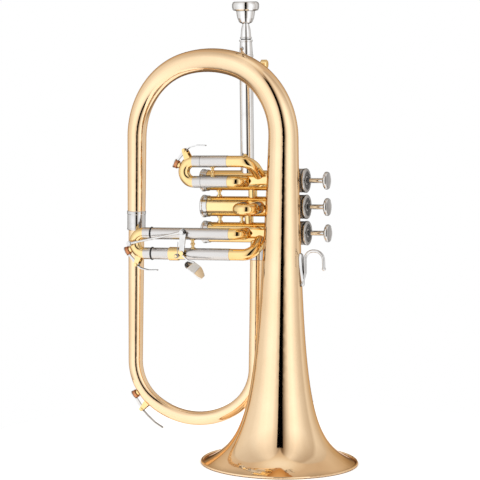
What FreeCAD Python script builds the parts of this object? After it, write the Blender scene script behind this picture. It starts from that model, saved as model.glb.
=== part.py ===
import FreeCAD, Part
import math
import os

from FreeCAD import Placement, Rotation, Vector

# Flugelhorn standing on its bell rim.  Millimetres.
# Origin: centre of the bell mouth, on the plane of the rim.  +Z runs up the bell axis, +X points
# to the finger buttons, -Y is the bell side and +Y the leadpipe side.

# ---- bell and bows -------------------------------------------------------------------------
WALL = 0.6                      # sheet thickness of bell and bows
RIM_RADIUS = 76.2               # six inch bell
BEAD_RADIUS = 1.25              # wire rolled into the rim
BEAD_FLAT = 0.08                # depth of the worn flat that the bell stands on
BELL_TOP = 250.0                # soldered joint between flare and bell bow
BELL_THROAT, BELL_TAPER = 14.13, 0.01622
FLARE_SIZE, FLARE_OFFSET, FLARE_POWER = 886.5, 20.63, 0.8785
WRAP_SPAN = 168.2               # bell axis to far leg, across the slanting wrap
VALVE_PLANE = 30.0              # Y of valves, leadpipe and main tube
BOW_START_Z, BOW_END_Z = 314.7, 308.5
BOW_START_R, BOW_MID_R, BOW_END_R = 71.2, 113.7, 77.0
BOW_TUBE = (16.55, 14.4, 12.1, 10.8, 9.4, 8.75)      # tube radius along the bell bow

FERRULE_LOW, FERRULE_HIGH = 216.0, 235.0
FERRULE_RADIUS = 9.3
MAIN_LEFT, MAIN_RIGHT = -165.6, -37.2                # X of the two legs of the main tube
MAIN_BEND_Z = 84.8
MAIN_CORNER_R, MAIN_MID_R = 50.0, 75.0
MAIN_TUBE = (7.7, 7.1, 6.9, 6.7, 6.55, 6.5)
MAIN_RIGHT_TOP = 198.0
EXIT_LOW, EXIT_HIGH, EXIT_RADIUS = 192.7, 203.5, 7.0

# ---- valve block, in its own frame: u along the valves, v back, w up -------------------------
BLOCK_TILT = 2.2                # degrees, button end raised
BLOCK_CENTRE = (-43.0, VALVE_PLANE, 244.9)
SPACING = 25.5
CASING_RADIUS, CASING_BORE = 9.8, 8.55
CASING_LOW, CASING_HIGH = -46.9, 50.0
CAP_DEPTH = 3.0                 # thread that a cap covers
CAP_FLOOR = 1.4
BOTTOM_CAP_RADIUS, BOTTOM_CAP_LENGTH = 11.1, 7.0
TOP_CAP_RADIUS, TOP_CAP_LENGTH = 11.9, 11.5
PISTON_RADIUS, PISTON_LOW, PISTON_HIGH = 8.5, -14.0, 38.0
PISTON_WALL = 0.6
STROKE = 16.5
STEM_RADIUS, STEM_SHOULDER = 2.4, 4.0
SHOULDER_TOP = 52.4
BUTTON_LOW, BUTTON_HIGH, BUTTON_RADIUS = 76.2, 80.0, 8.6
BUTTON_SKIRT = 1.3
PORT_BORE = 4.4
PORT_A, PORT_B = -3.0, 11.7     # where the two legs of each valve slide meet the casing
LEADPIPE_PORT, CROSS_12, CROSS_23, EXIT_PORT = -3.6, 1.5, -3.1, 4.3
CROSS_RADIUS = 4.3
POST_U, SMALL_POST_U = -33.5, -10.4

# ---- valve slides ----------------------------------------------------------------------------
LEG_V = -20.0                   # plane of the first and third slides
LEG_GAP = 19.9                  # between the two legs of a slide
SLEEVE_RADIUS, SLEEVE_BORE = 5.8, 5.22
LEG_RADIUS, LEG_BORE = 5.15, 4.75
CROOK_RADIUS = 5.6
SLEEVE_END = -15.9
FIRST_FERRULE, FIRST_SLEEVE = -52.0, -43.3
THIRD_FERRULE, THIRD_SLEEVE = -106.8, -97.3
FIRST_BRACE_U, THIRD_BRACE_U = -32.0, -55.0
FIRST_TRAVEL, THIRD_TRAVEL = 15.0, 12.2
SECOND_SLEEVE_V, SECOND_FERRULE_V, SECOND_CROOK_V = -14.0, -23.5, -27.0
SLIP = 0.3                      # gap left between a moving ferrule and its sleeve

# ---- leadpipe, along its own axis from the middle of the first valve -------------------------
LEADPIPE_FOOT = (-47.6, VALVE_PLANE, 270.4)
LEADPIPE_TILT = 1.36
PIPE_OUTER, PIPE_SLEEVE_BORE = 6.55, 5.67
PIPE_INNER, PIPE_BORE = 5.6, 5.0
CLAMP_LOW, CLAMP_HIGH, CLAMP_RADIUS = 107.5, 118.0, 8.0
RECEIVER_LOW, RECEIVER_HIGH = 119.6, 136.6
MOUTHPIECE_TOP = 173.4

# ---- trigger of the third slide, in the row frame --------------------------------------------
TRIGGER_PIVOT = (-104.9, 198.6)
TRIGGER_TOP = (-103.7, 219.6)
ROD_ANCHOR = (-159.8, 205.6)
LEVER_Y = (1.0, 2.6)
ROD_Y = (-1.9, 0.3)
ROD_PIN, ROD_PIN_END = 0.99, 3.4
TRIGGER_TAIL = [(-101.8, 195.4), (-98.0, 192.4), (-91.5, 190.8)]
TRIGGER_PADDLE = [(-98.0, 192.4), (-91.5, 190.8), (-84.5, 186.8), (-79.6, 178.6)]
PADDLE_WIDTH, PADDLE_ROLL = 11.0, 38.0
BRACKET_U = (-79.5, -60.5)
SPRING_PEG = (-110.2, 195.6)

# ---- water keys: pad and pivot as seen from the centre of the bend they sit on ----------------
KEY_PAD_ANGLE, KEY_PIVOT_ANGLE = math.radians(157), math.radians(112)
KEY_PIVOT_REACH = 22.6
KEY_TAIL = [(4.5, 3.4), (12.0, 5.2), (22.0, 5.0)]
MAIN_PAD_ANGLE = math.radians(215)
MAIN_KEY_PIVOT = (-158.0, 35.4)
MAIN_KEY_TAIL = [(-151.5, 29.0), (-144.0, 22.8), (-135.5, 18.2)]

X, Y, Z = Vector(1, 0, 0), Vector(0, 1, 0), Vector(0, 0, 1)
BLOCK = Placement(Vector(*BLOCK_CENTRE), Rotation(Vector(0, -1, 0), BLOCK_TILT))
LEAN = math.radians(LEADPIPE_TILT)
PIPE_AXIS = Vector(-math.sin(LEAN), 0, math.cos(LEAN))
VALVES = {1: SPACING, 2: 0.0, 3: -SPACING}
nodes = {}


# ---- drawing helpers -------------------------------------------------------------------------
def along(origin, direction):
    """Placement that takes +Z to a direction."""
    return Placement(Vector(*origin), Rotation(Z, Vector(*direction)))


def placed(shape, placement):
    copy = shape.copy()
    copy.Placement = placement.multiply(copy.Placement)
    return copy


def in_block(shape):
    return placed(shape, BLOCK)


def on_pipe(shape):
    """A shape drawn along +Z goes onto the leadpipe's axis."""
    return placed(shape, along(LEADPIPE_FOOT, PIPE_AXIS))


def cylinder(radius, start, end):
    start, end = Vector(*start), Vector(*end)
    return Part.makeCylinder(radius, (end - start).Length, start, end - start)


def ring(outer, inner, start, end):
    return cylinder(outer, start, end).cut(cylinder(inner, start, end))


def turned(outline):
    """Solid of revolution about Z from (radius, height) points."""
    points = [Vector(radius, 0, height) for radius, height in outline]
    return Part.Face(Part.makePolygon(points + points[:1])).revolve(Vector(), Z, 360)


def joined(shapes):
    shapes = list(shapes)
    if len(shapes) == 1:
        return shapes[0]
    return shapes[0].multiFuse(shapes[1:]).removeSplitter()


def rounded_path(points, radii):
    """Straight runs joined by tangent arcs, one radius for each inner point."""
    points = [Vector(*point) for point in points]
    edges = []
    start = points[0]
    for i, radius in enumerate(radii, 1):
        back = (points[i - 1] - points[i]).normalize()
        ahead = (points[i + 1] - points[i]).normalize()
        half = back.getAngle(ahead) / 2
        first = points[i] + back * (radius / math.tan(half))
        last = points[i] + ahead * (radius / math.tan(half))
        centre = points[i] + (back + ahead).normalize() * (radius / math.sin(half))
        middle = centre + (points[i] - centre).normalize() * radius
        if (first - start).Length > 0.001:
            edges.append(Part.LineSegment(start, first).toShape())
        edges.append(Part.Arc(first, middle, last).toShape())
        start = last
    if (points[-1] - start).Length > 0.001:
        edges.append(Part.LineSegment(start, points[-1]).toShape())
    return edges


def path_normal(edges):
    """Normal of the plane that a flat path lies in."""
    start = edges[0].tangentAt(edges[0].FirstParameter)
    for edge in edges:
        for parameter in ((edge.FirstParameter + edge.LastParameter) / 2, edge.LastParameter):
            normal = start.cross(edge.tangentAt(parameter))
            if normal.Length > 0.01:
                return normal.normalize()
    return start.cross(Y if abs(start.y) < 0.9 else X).normalize()


def profile(edge, parameter, radius, normal):
    """Circle across an edge, its seam always on the same side of the path."""
    tangent = edge.tangentAt(parameter)
    circle = Part.Wire(Part.makeCircle(radius))
    turn = Rotation(normal, tangent.cross(normal), tangent, "ZXY")
    circle.Placement = Placement(edge.valueAt(parameter), turn)
    return circle


def swept(edges, radii):
    """Round bar along tangent edges; radii has one value, or one for each edge end."""
    normal = path_normal(edges)
    if not isinstance(radii, (list, tuple)):
        circles = [profile(edges[0], edges[0].FirstParameter, radii, normal)]
    else:
        circles = [profile(edge, edge.FirstParameter, radius, normal)
                   for edge, radius in zip(edges, radii)]
        circles.append(profile(edges[-1], edges[-1].LastParameter, radii[-1], normal))
    return Part.Wire(edges).makePipeShell(circles, True, False)


def hollow(edges, radii, wall):
    if isinstance(radii, (list, tuple)):
        bore = [radius - wall for radius in radii]
    else:
        bore = radii - wall
    return swept(edges, radii).cut(swept(edges, bore))


def link_plate(a, radius_a, b, radius_b, y_low, y_high):
    """Flat plate across Y: the hull of two circles given by their (x, z) centres."""
    ax, az = a
    bx, bz = b
    length = math.hypot(bx - ax, bz - az)
    heading = math.atan2(bz - az, bx - ax)
    lean = math.acos((radius_a - radius_b) / length)
    corners = []
    for (x, z), radius, side in ((a, radius_a, 1), (b, radius_b, 1), (b, radius_b, -1), (a, radius_a, -1)):
        angle = heading + side * lean
        corners.append(Vector(x + radius * math.cos(angle), y_low, z + radius * math.sin(angle)))
    web = Part.Face(Part.makePolygon(corners + corners[:1])).extrude(Y * (y_high - y_low))
    ends = [cylinder(radius, (x, y_low, z), (x, y_high, z))
            for (x, z), radius in ((a, radius_a), (b, radius_b))]
    return joined([web] + ends)


def strip(points, thickness, y_low, y_high):
    """Bent flat strip across Y that follows (x, z) points with rounded bends."""
    bends = [0.45 * min(math.dist(points[i - 1], points[i]), math.dist(points[i], points[i + 1]))
             for i in range(1, len(points) - 1)]
    path = Part.Wire(rounded_path([(x, y_low, z) for x, z in points], bends))
    band = path.extrude(Y * (y_high - y_low))
    return band.makeOffsetShape(thickness, 0.001, fill=True)


def bow(start, across, rise, span, heights, radii):
    """Three tangent arcs from one leg to the other: corner, flatter middle, corner."""
    first, middle, last = radii
    low, high = heights
    a, b = (first, low), (span - last, high)
    reach_a, reach_b = middle - first, middle - last
    gap = math.dist(a, b)
    fraction = (reach_a ** 2 - reach_b ** 2 + gap ** 2) / (2 * gap)
    drop = math.sqrt(reach_a ** 2 - fraction ** 2)
    ux, uz = (b[0] - a[0]) / gap, (b[1] - a[1]) / gap
    m = (a[0] + fraction * ux + drop * uz, a[1] + fraction * uz - drop * ux)

    def point(centre, radius, angle):
        s = centre[0] + radius * math.cos(angle)
        h = centre[1] + radius * math.sin(angle)
        return Vector(*start) + Vector(*across) * s + Vector(*rise) * h

    angle_a = math.atan2(a[1] - m[1], a[0] - m[0])
    angle_b = math.atan2(b[1] - m[1], b[0] - m[0])
    stretches = ((a, first, math.pi, angle_a), (m, middle, angle_a, angle_b), (b, last, angle_b, 0))
    arcs = []
    for centre, radius, begin, end in stretches:
        ends = [point(centre, radius, angle) for angle in (begin, (begin + end) / 2, end)]
        arcs.append(Part.Arc(*ends).toShape())
    return arcs


def line(start, end):
    return Part.LineSegment(Vector(*start), Vector(*end)).toShape()


# ---- bell and main tubing --------------------------------------------------------------------
def bell_radius(z):
    return BELL_THROAT - BELL_TAPER * z + FLARE_SIZE * (z + FLARE_OFFSET) ** -FLARE_POWER


def bell_outline(inset):
    """Spline of the flare, moved inwards by the sheet thickness."""
    heights = [0.7, 3, 6, 11, 18, 28, 42, 62, 90, 130, 185, BELL_TOP]
    points = []
    for z in heights:
        slope = (bell_radius(z + 0.01) - bell_radius(z)) / 0.01
        length = math.hypot(1, slope)
        points.append(Vector(bell_radius(z) - inset / length, 0, z + inset * slope / length))
    points[-1] = Vector(bell_radius(BELL_TOP) - inset, 0, BELL_TOP)
    curve = Part.BSplineCurve()
    curve.interpolate(points)
    return curve.toShape(), points


def make_bell():
    outer, outer_points = bell_outline(0)
    inner, inner_points = bell_outline(WALL)
    top = Part.LineSegment(outer_points[-1], inner_points[-1]).toShape()
    foot = Part.LineSegment(inner_points[0], outer_points[0]).toShape()
    flare = Part.Face(Part.Wire(Part.sortEdges([outer, top, inner, foot])[0])).revolve(Vector(), Z, 360)
    bead = Part.makeTorus(RIM_RADIUS - BEAD_RADIUS, BEAD_RADIUS, Vector(0, 0, BEAD_RADIUS - BEAD_FLAT))
    below = Part.makeCylinder(2 * RIM_RADIUS, 10, Vector(0, 0, -10))
    nodes["bell"] = flare.fuse(bead).cut(below)
    outside, _ = bell_outline(-0.01)
    base, crest = outside.valueAt(outside.FirstParameter), outside.valueAt(outside.LastParameter)
    edges = [outside, line(crest, (0, 0, crest.z)), line((0, 0, crest.z), (0, 0, base.z)),
             line((0, 0, base.z), base)]
    return Part.Face(Part.Wire(Part.sortEdges(edges)[0])).revolve(Vector(), Z, 360)


def make_bell_bow():
    far = Vector(MAIN_LEFT, VALVE_PLANE, 0)
    across = far.normalize()
    radii = (BOW_START_R, BOW_MID_R, BOW_END_R)
    arcs = bow((0, 0, 0), across, Z, WRAP_SPAN, (BOW_START_Z, BOW_END_Z), radii)
    leg = across * WRAP_SPAN
    edges = [line((0, 0, BELL_TOP), (0, 0, BOW_START_Z))] + arcs
    edges.append(line((leg.x, leg.y, BOW_END_Z), (leg.x, leg.y, (FERRULE_LOW + FERRULE_HIGH) / 2)))
    nodes["bell_bow"] = hollow(edges, BOW_TUBE, WALL)
    return swept(edges, [radius + 0.02 for radius in BOW_TUBE])


def make_main_tube():
    span = MAIN_RIGHT - MAIN_LEFT
    heights = (-MAIN_BEND_Z, -MAIN_BEND_Z)
    radii = (MAIN_CORNER_R, MAIN_MID_R, MAIN_CORNER_R)
    arcs = bow((MAIN_LEFT, VALVE_PLANE, 0), X, -Z, span, heights, radii)
    middle = (FERRULE_LOW + FERRULE_HIGH) / 2 - 1
    edges = [line((MAIN_LEFT, VALVE_PLANE, middle), (MAIN_LEFT, VALVE_PLANE, MAIN_BEND_Z))] + arcs
    edges.append(line((MAIN_RIGHT, VALVE_PLANE, MAIN_BEND_Z), (MAIN_RIGHT, VALVE_PLANE, MAIN_RIGHT_TOP)))
    nodes["main_tube"] = hollow(edges, MAIN_TUBE, WALL)
    return swept(edges, [radius + 0.02 for radius in MAIN_TUBE])


def make_ferrules(bow_body, tube_body):
    low, high = FERRULE_LOW, FERRULE_HIGH
    middle = (low + high) / 2
    bow_fit, tube_fit = BOW_TUBE[-1] + 0.02, MAIN_TUBE[0] + 0.02
    r = FERRULE_RADIUS
    outline = [(tube_fit, low), (r - 0.5, low), (r, low + 0.6), (r, low + 1.4), (r - 0.25, low + 1.8),
               (r - 0.25, high - 3.4), (r + 0.1, high - 3.0), (r + 0.1, high - 0.5), (r - 0.3, high),
               (bow_fit, high), (bow_fit, middle - 0.2), (tube_fit, middle - 0.2)]
    collar = placed(turned(outline), Placement(Vector(MAIN_LEFT, VALVE_PLANE, 0), Rotation()))
    nodes["bow_ferrule"] = collar.cut(bow_body).cut(tube_body)
    fit, r = MAIN_TUBE[-1] + 0.02, EXIT_RADIUS
    outline = [(fit, EXIT_LOW), (r, EXIT_LOW + 0.4), (r, EXIT_HIGH - 2.2), (r + 0.35, EXIT_HIGH - 1.8),
               (r + 0.35, EXIT_HIGH), (fit, EXIT_HIGH)]
    collar = placed(turned(outline), Placement(Vector(MAIN_RIGHT, VALVE_PLANE, 0), Rotation()))
    nodes["valve_exit_ferrule"] = collar.cut(tube_body)


# ---- valves ----------------------------------------------------------------------------------
def port_path(start_u, start_side, end_u, end_side, w):
    """Route of an air passage through a piston: in from one side, out by another."""
    reach = CASING_RADIUS
    start = (start_u, reach * start_side[0], w + reach * start_side[1])
    end = (end_u, reach * end_side[0], w + reach * end_side[1])
    centre = ((start_u + end_u) / 2, 0, w)
    turn = (Vector(*start) - Vector(*centre)).getAngle(Vector(*end) - Vector(*centre))
    if turn > math.radians(170):
        return [line(start, end)]
    return rounded_path([start, centre, end], [5.5])


UP, DOWN, FRONT = (0, 1), (0, -1), (-1, 0)
HIGH_FRONT, LOW_FRONT = (-math.sqrt(0.5), math.sqrt(0.5)), (-math.sqrt(0.5), -math.sqrt(0.5))
# each valve: where air comes in, where it goes out, and the sides of the slide's two ports
AIR = {
    1: ((LEADPIPE_PORT, UP), (CROSS_12, DOWN), (PORT_A, FRONT), (PORT_B, HIGH_FRONT)),
    2: ((CROSS_12, UP), (CROSS_23, DOWN), (PORT_B, FRONT), (PORT_A, FRONT)),
    3: ((CROSS_23, UP), (EXIT_PORT, DOWN), (PORT_A, FRONT), (PORT_B, LOW_FRONT)),
}


def make_casing(number, w):
    shell = ring(CASING_RADIUS, CASING_BORE, (CASING_LOW, 0, w), (CASING_HIGH, 0, w))
    for u, side in AIR[number]:
        near, far = ((u, reach * side[0], w + reach * side[1]) for reach in (5, 12))
        shell = shell.cut(cylinder(PORT_BORE - 0.6, near, far))
    nodes["valve_casing_%d" % number] = in_block(shell)


def make_piston(number, w):
    low, high = PISTON_LOW, PISTON_HIGH
    body = cylinder(PISTON_RADIUS, (low, 0, w), (high, 0, w))
    cavity = cylinder(PISTON_RADIUS - PISTON_WALL, (low + 0.8, 0, w), (high - 0.8, 0, w))
    entry, leaving, slide_out, slide_back = AIR[number]
    passages = [(entry[0], entry[1], leaving[0], leaving[1]),
                (entry[0] + STROKE, entry[1], slide_out[0] + STROKE, slide_out[1]),
                (slide_back[0] + STROKE, slide_back[1], leaving[0] + STROKE, leaving[1])]
    if number == 2:
        passages[1], passages[2] = passages[2], passages[1]
    bores = [swept(port_path(*passage, w), PORT_BORE - 1.0) for passage in passages]
    linings = [swept(port_path(*passage, w), PORT_BORE - 0.6).common(body) for passage in passages]
    solid = body.cut(cavity).multiFuse(linings).cut(bores[0].multiFuse(bores[1:]))
    nodes["piston_%d" % number] = in_block(solid)


def make_stem(number, w):
    step = cylinder(STEM_SHOULDER, (PISTON_HIGH, 0, w), (SHOULDER_TOP, 0, w))
    shaft = cylinder(STEM_RADIUS, (SHOULDER_TOP, 0, w), (BUTTON_LOW - BUTTON_SKIRT, 0, w))
    nodes["valve_stem_%d" % number] = in_block(joined([step, shaft]))


def make_button(number, w):
    r, low, high = BUTTON_RADIUS, BUTTON_LOW, BUTTON_HIGH
    outline = [(0, low - BUTTON_SKIRT), (4.4, low - BUTTON_SKIRT), (4.9, low - 0.4), (r - 1.2, low),
               (r - 0.3, low + 0.6), (r, low + 1.4), (r, high - 1.3), (r - 0.4, high - 0.4),
               (r - 1.3, high), (r - 2.4, high - 0.35), (0, high - 0.8)]
    nodes["finger_button_%d" % number] = in_block(placed(turned(outline), along((0, 0, w), X)))


def make_caps():
    bottom_length, bottom_r = BOTTOM_CAP_LENGTH, BOTTOM_CAP_RADIUS
    start = CASING_LOW + CAP_DEPTH
    end = start - bottom_length
    bore = CASING_RADIUS + 0.02
    floor = end + CAP_FLOOR
    bottom = [(bore, -start), (bottom_r - 0.9, -start), (bottom_r - 0.6, -start + 0.5),
              (bottom_r - 0.6, -end - 2.6), (bottom_r, -end - 2.2), (bottom_r, -end - 0.6),
              (bottom_r - 0.6, -end), (3.6, -end), (3.0, -end - 0.7), (2.0, -end - 0.7), (2.0, -floor),
              (CASING_BORE, -floor), (CASING_BORE, -CASING_LOW), (bore, -CASING_LOW)]
    top_start = CASING_HIGH - CAP_DEPTH
    top_end = top_start + TOP_CAP_LENGTH
    ceiling = top_end - 2.6
    r = TOP_CAP_RADIUS
    hole = STEM_RADIUS + 0.2
    top = [(bore, top_start), (r - 0.8, top_start), (r - 0.3, top_start + 0.7), (r - 0.3, top_end - 3.6),
           (r, top_end - 3.2), (r, top_end - 0.7), (r - 0.7, top_end), (8.6, top_end),
           (8.6, top_end - 1.5), (4.6, top_end - 1.5),
           (4.6, top_end - 0.5), (hole, top_end - 0.5), (hole, ceiling), (CASING_BORE, ceiling),
           (CASING_BORE, CASING_HIGH), (bore, CASING_HIGH)]
    bottoms, tops, felts = [], [], []
    for w in VALVES.values():
        bottoms.append(in_block(placed(turned(bottom), along((0, 0, w), -X))))
        tops.append(in_block(placed(turned(top), along((0, 0, w), X))))
        felts.append(in_block(ring(8.5, 4.7, (top_end - 1.48, 0, w), (top_end - 0.4, 0, w))))
        felts.append(in_block(ring(7.0, hole, (SHOULDER_TOP + 0.2, 0, w), (ceiling - 0.02, 0, w))))
    nodes["bottom_caps"] = Part.makeCompound(bottoms)
    nodes["top_caps"] = Part.makeCompound(tops)
    nodes["valve_felts"] = Part.makeCompound(felts)


def coil_spring(coil, wire, turns, length):
    """Spring that climbs along Z in tilted half turns, so that each surface is a plain torus."""
    rise = length / (2 * turns)
    halves = []
    for step in range(2 * turns):
        side = 1 if step % 2 == 0 else -1
        start = Vector(side * coil, 0, step * rise)
        end = Vector(-side * coil, 0, (step + 1) * rise)
        middle = (start + end) / 2
        section = Part.Face(Part.Wire(Part.makeCircle(wire, start, Y)))
        halves.append(section.revolve(middle, (start - middle).cross(Y * side), 180))
    return joined(halves)


def make_valve_springs():
    """Bottom springs: each stands on its cap and carries its piston."""
    floor = CASING_LOW + CAP_DEPTH - BOTTOM_CAP_LENGTH + CAP_FLOOR
    wire, coil, turns = 0.45, 6.4, 5
    length = PISTON_LOW - floor - 2 * wire - 0.2
    springs = []
    for w in VALVES.values():
        spring = coil_spring(coil, wire, turns, length)
        springs.append(in_block(placed(spring, along((floor + wire + 0.1, 0, w), X))))
    nodes["valve_springs"] = Part.makeCompound(springs)


def collared_post(start, end, radius, collar, foot=0.9):
    """Round stay with a flange at each end, foot long."""
    start, end = Vector(*start), Vector(*end)
    step = (end - start).normalize()
    return joined([cylinder(radius, start, end), cylinder(collar, start, start + step * foot),
                   cylinder(collar, end - step * foot, end)])


def casing_solid(w):
    return cylinder(CASING_RADIUS + 0.01, (CASING_LOW, 0, w), (CASING_HIGH, 0, w))


def make_casing_posts():
    posts = []
    for upper, lower in ((VALVES[1], VALVES[2]), (VALVES[2], VALVES[3])):
        places = [(POST_U, 1.6)]
        if lower == VALVES[3]:
            places.append((SMALL_POST_U, 1.3))
        for u, radius in places:
            top, foot = upper - CASING_RADIUS + 0.4, lower + CASING_RADIUS - 0.4
            post = collared_post((u, 0, foot), (u, 0, top), radius, radius + 1.1, 1.7)
            posts.append(in_block(post.cut(casing_solid(upper)).cut(casing_solid(lower))))
    nodes["casing_posts"] = Part.makeCompound(posts)


def make_casing_knuckles():
    knuckles = []
    for u, upper, lower in ((CROSS_12, VALVES[1], VALVES[2]), (CROSS_23, VALVES[2], VALVES[3])):
        tube = ring(CROSS_RADIUS, CROSS_RADIUS - 0.5, (u, 0, lower + 5), (u, 0, upper - 5))
        knuckles.append(in_block(tube.cut(casing_solid(upper)).cut(casing_solid(lower))))
    outlet = ring(MAIN_TUBE[-1] - 0.2, MAIN_TUBE[-1] - 0.8, (MAIN_RIGHT, VALVE_PLANE, MAIN_RIGHT_TOP + 0.1),
                  (MAIN_RIGHT, VALVE_PLANE, BLOCK_CENTRE[2] - SPACING - 3))
    branch = knuckle_paths(3)[1]
    beside = in_block(swept(branch, CROOK_RADIUS + 0.02))
    knuckles.append(outlet.cut(in_block(casing_solid(VALVES[3]))).cut(beside))
    nodes["casing_knuckles"] = Part.makeCompound(knuckles)


# ---- valve slides ----------------------------------------------------------------------------
def slide_heights(number):
    """Heights of the inner and outer leg of the first or third slide."""
    w = VALVES[number]
    return (w, w + LEG_GAP) if number == 1 else (w, w - LEG_GAP)


def crook_arc(number, ferrule):
    """Centre line of the half round crook of the first or third slide."""
    inner, outer = slide_heights(number)
    apex = Vector(ferrule - LEG_GAP / 2, LEG_V, (inner + outer) / 2)
    return [Part.Arc(Vector(ferrule, LEG_V, inner), apex, Vector(ferrule, LEG_V, outer)).toShape()]


def knuckle_paths(number):
    """Elbow of the inner leg, and branch of the outer leg, from the sleeves into the casing."""
    inner, outer = slide_heights(number)
    reach = 4 * math.sqrt(0.5)
    side = 1 if outer > inner else -1
    elbow = rounded_path([(SLEEVE_END, LEG_V, inner), (PORT_A, LEG_V, inner), (PORT_A, -4, inner)], [9.0])
    branch = rounded_path([(SLEEVE_END, LEG_V, outer), (PORT_B - 3.5, LEG_V, outer),
                           (PORT_B, -reach, inner + side * reach)], [13.0])
    return elbow, branch


def make_slide_knuckles(number, name):
    casing = casing_solid(VALVES[number])
    tubes = [hollow(path, CROOK_RADIUS, 0.6) for path in knuckle_paths(number)]
    nodes[name + "_knuckles"] = Part.makeCompound([in_block(tube.cut(casing)) for tube in tubes])


def make_slide(number, name, ferrule, sleeve, travel):
    """Fixed sleeves, and the crook, ferrules and inner legs that slide in them."""
    inner, outer = slide_heights(number)
    sleeves, legs = [], []
    for w in (inner, outer):
        sleeves.append(in_block(ring(SLEEVE_RADIUS, SLEEVE_BORE, (sleeve, LEG_V, w), (SLEEVE_END, LEG_V, w))))
        collar_end = sleeve - SLIP
        if number == 3:
            collar_end -= 1.6
        tube = ring(LEG_RADIUS, LEG_BORE, (ferrule, LEG_V, w), (sleeve + travel + 6, LEG_V, w))
        collar = ring(SLEEVE_RADIUS, LEG_BORE, (ferrule, LEG_V, w), (collar_end, LEG_V, w))
        legs.append(in_block(joined([tube, collar])))
    nodes[name + "_sleeves"] = Part.makeCompound(sleeves)
    nodes[name + "_legs"] = Part.makeCompound(legs)
    nodes[name + "_crook"] = in_block(hollow(crook_arc(number, ferrule), CROOK_RADIUS, 0.6))


def make_second_slide():
    sleeves, knuckles = [], []
    for u in (PORT_A, PORT_B):
        knuckle = ring(CROOK_RADIUS, CROOK_RADIUS - 0.6, (u, SECOND_SLEEVE_V, 0), (u, -4, 0))
        knuckles.append(in_block(knuckle.cut(casing_solid(0))))
        sleeve = ring(SLEEVE_RADIUS, SLEEVE_BORE, (u, SECOND_FERRULE_V, 0), (u, SECOND_SLEEVE_V, 0))
        sleeves.append(in_block(sleeve))
    nodes["second_slide_knuckles"] = Part.makeCompound(knuckles)
    nodes["second_slide_sleeves"] = Part.makeCompound(sleeves)
    middle = (PORT_A + PORT_B) / 2
    half = (PORT_B - PORT_A) / 2
    start, apex = SECOND_CROOK_V, SECOND_CROOK_V - half
    arc = Part.Arc(Vector(PORT_A, start, 0), Vector(middle, apex, 0), Vector(PORT_B, start, 0)).toShape()
    parts = [hollow([arc], CROOK_RADIUS, CROOK_RADIUS - LEG_BORE)]
    for u in (PORT_A, PORT_B):
        parts.append(ring(CROOK_RADIUS, LEG_BORE, (u, start, 0), (u, SECOND_FERRULE_V - SLIP, 0)))
        parts.append(ring(LEG_RADIUS, LEG_BORE, (u, start, 0), (u, SECOND_SLEEVE_V - 0.5, 0)))
    nodes["second_slide"] = in_block(joined(parts))


def make_slide_braces():
    braces = []
    for number, u in ((1, FIRST_BRACE_U), (3, THIRD_BRACE_U)):
        inner, outer = slide_heights(number)
        low, high = min(inner, outer), max(inner, outer)
        foot, head = low + SLEEVE_RADIUS - 0.5, high - SLEEVE_RADIUS + 0.5
        post = collared_post((u, LEG_V, foot), (u, LEG_V, head), 1.5, 2.7)
        bead = turned([(0, -1.1), (1.6, -1.1), (2.3, -0.6), (2.3, 0.6), (1.6, 1.1), (0, 1.1)])
        post = joined([post, placed(bead, Placement(Vector(u, LEG_V, (low + high) / 2), Rotation()))])
        for w in (low, high):
            post = post.cut(cylinder(SLEEVE_RADIUS + 0.01, (u - 9, LEG_V, w), (u + 9, LEG_V, w)))
        braces.append(in_block(post))
    nodes["slide_braces"] = Part.makeCompound(braces)


def make_bumper_rings():
    rings = []
    for w in slide_heights(3):
        start = THIRD_SLEEVE - SLIP - 1.5
        band = Part.makeTorus(LEG_RADIUS + 0.75, 0.7, Vector(start + 0.75, LEG_V, w), X)
        rings.append(in_block(band))
    nodes["slide_bumper_rings"] = Part.makeCompound(rings)


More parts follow.
